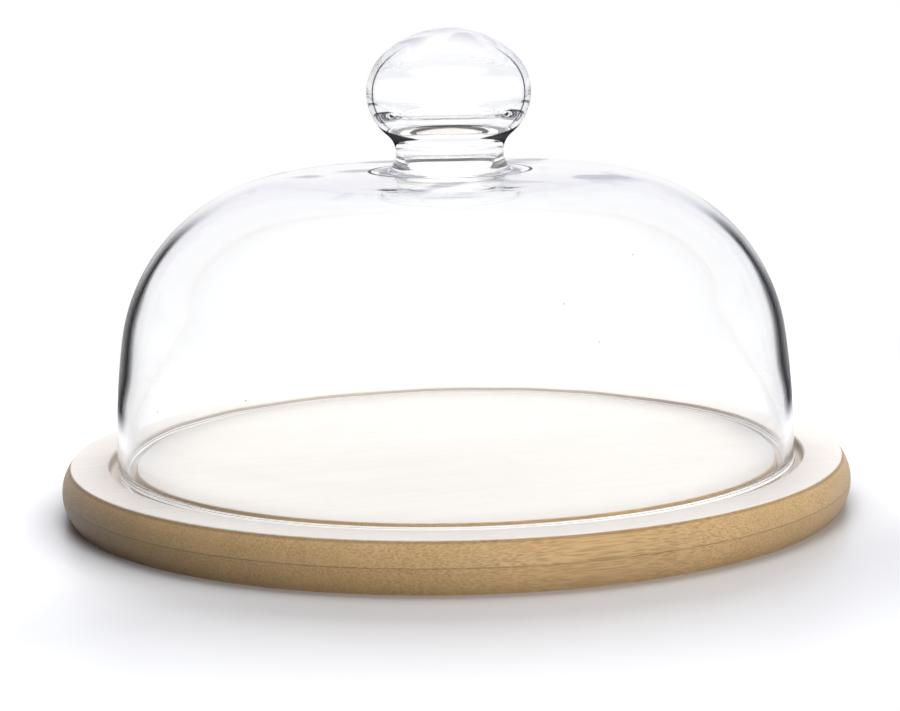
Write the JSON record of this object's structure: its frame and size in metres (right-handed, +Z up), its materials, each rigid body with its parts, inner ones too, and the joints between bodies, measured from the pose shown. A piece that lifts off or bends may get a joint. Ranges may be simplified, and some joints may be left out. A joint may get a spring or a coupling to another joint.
{
  "type": "cheese dome",
  "caption": "Clear glass bell with a hollow ball knob, standing in a ring groove on a round bamboo cheese board; the bell lifts straight off.",
  "frame": {"origin": "centre of the board's underside, on the axis shared by board, bell and knob", "axes": "+Z up out of the board along the bell's axis of symmetry; -Y faces the viewer of the reference view; the bamboo grain runs 19 degrees from +X towards +Y"},
  "size_m": [0.32, 0.32, 0.1918],
  "materials": {
    "bamboo_top": "oiled satin",
    "bamboo_low": "oiled satin",
    "bell_glass": "clear polished",
    "knob_glass": "clear polished"
  },
  "bodies": {
    "board": {"top_stave_01": "bamboo_top", "top_stave_02": "bamboo_top", "top_stave_03": "bamboo_top", "top_stave_04": "bamboo_top", "top_stave_05": "bamboo_top", "top_stave_06": "bamboo_top", "top_stave_07": "bamboo_top", "top_stave_08": "bamboo_top", "top_stave_09": "bamboo_top", "top_stave_10": "bamboo_top", "top_stave_11": "bamboo_top", "top_stave_12": "bamboo_top", "top_stave_13": "bamboo_top", "top_stave_14": "bamboo_top", "top_stave_15": "bamboo_top", "top_stave_16": "bamboo_top", "low_stave_01": "bamboo_low", "low_stave_02": "bamboo_low", "low_stave_03": "bamboo_low", "low_stave_04": "bamboo_low", "low_stave_05": "bamboo_low", "low_stave_06": "bamboo_low", "low_stave_07": "bamboo_low", "low_stave_08": "bamboo_low", "low_stave_09": "bamboo_low", "low_stave_10": "bamboo_low", "low_stave_11": "bamboo_low", "low_stave_12": "bamboo_low", "low_stave_13": "bamboo_low", "low_stave_14": "bamboo_low", "low_stave_15": "bamboo_low", "low_stave_16": "bamboo_low", "low_stave_17": "bamboo_low"},
    "cover": {"glass_bell": "bell_glass", "glass_collar": "knob_glass", "glass_knob": "knob_glass"}
  },
  "joints": [
    {"name": "cover_lift", "type": "slide", "parent": "board", "child": "cover", "axis": [0, 0, 1], "range_m": [0, 0.25]}
  ]
}
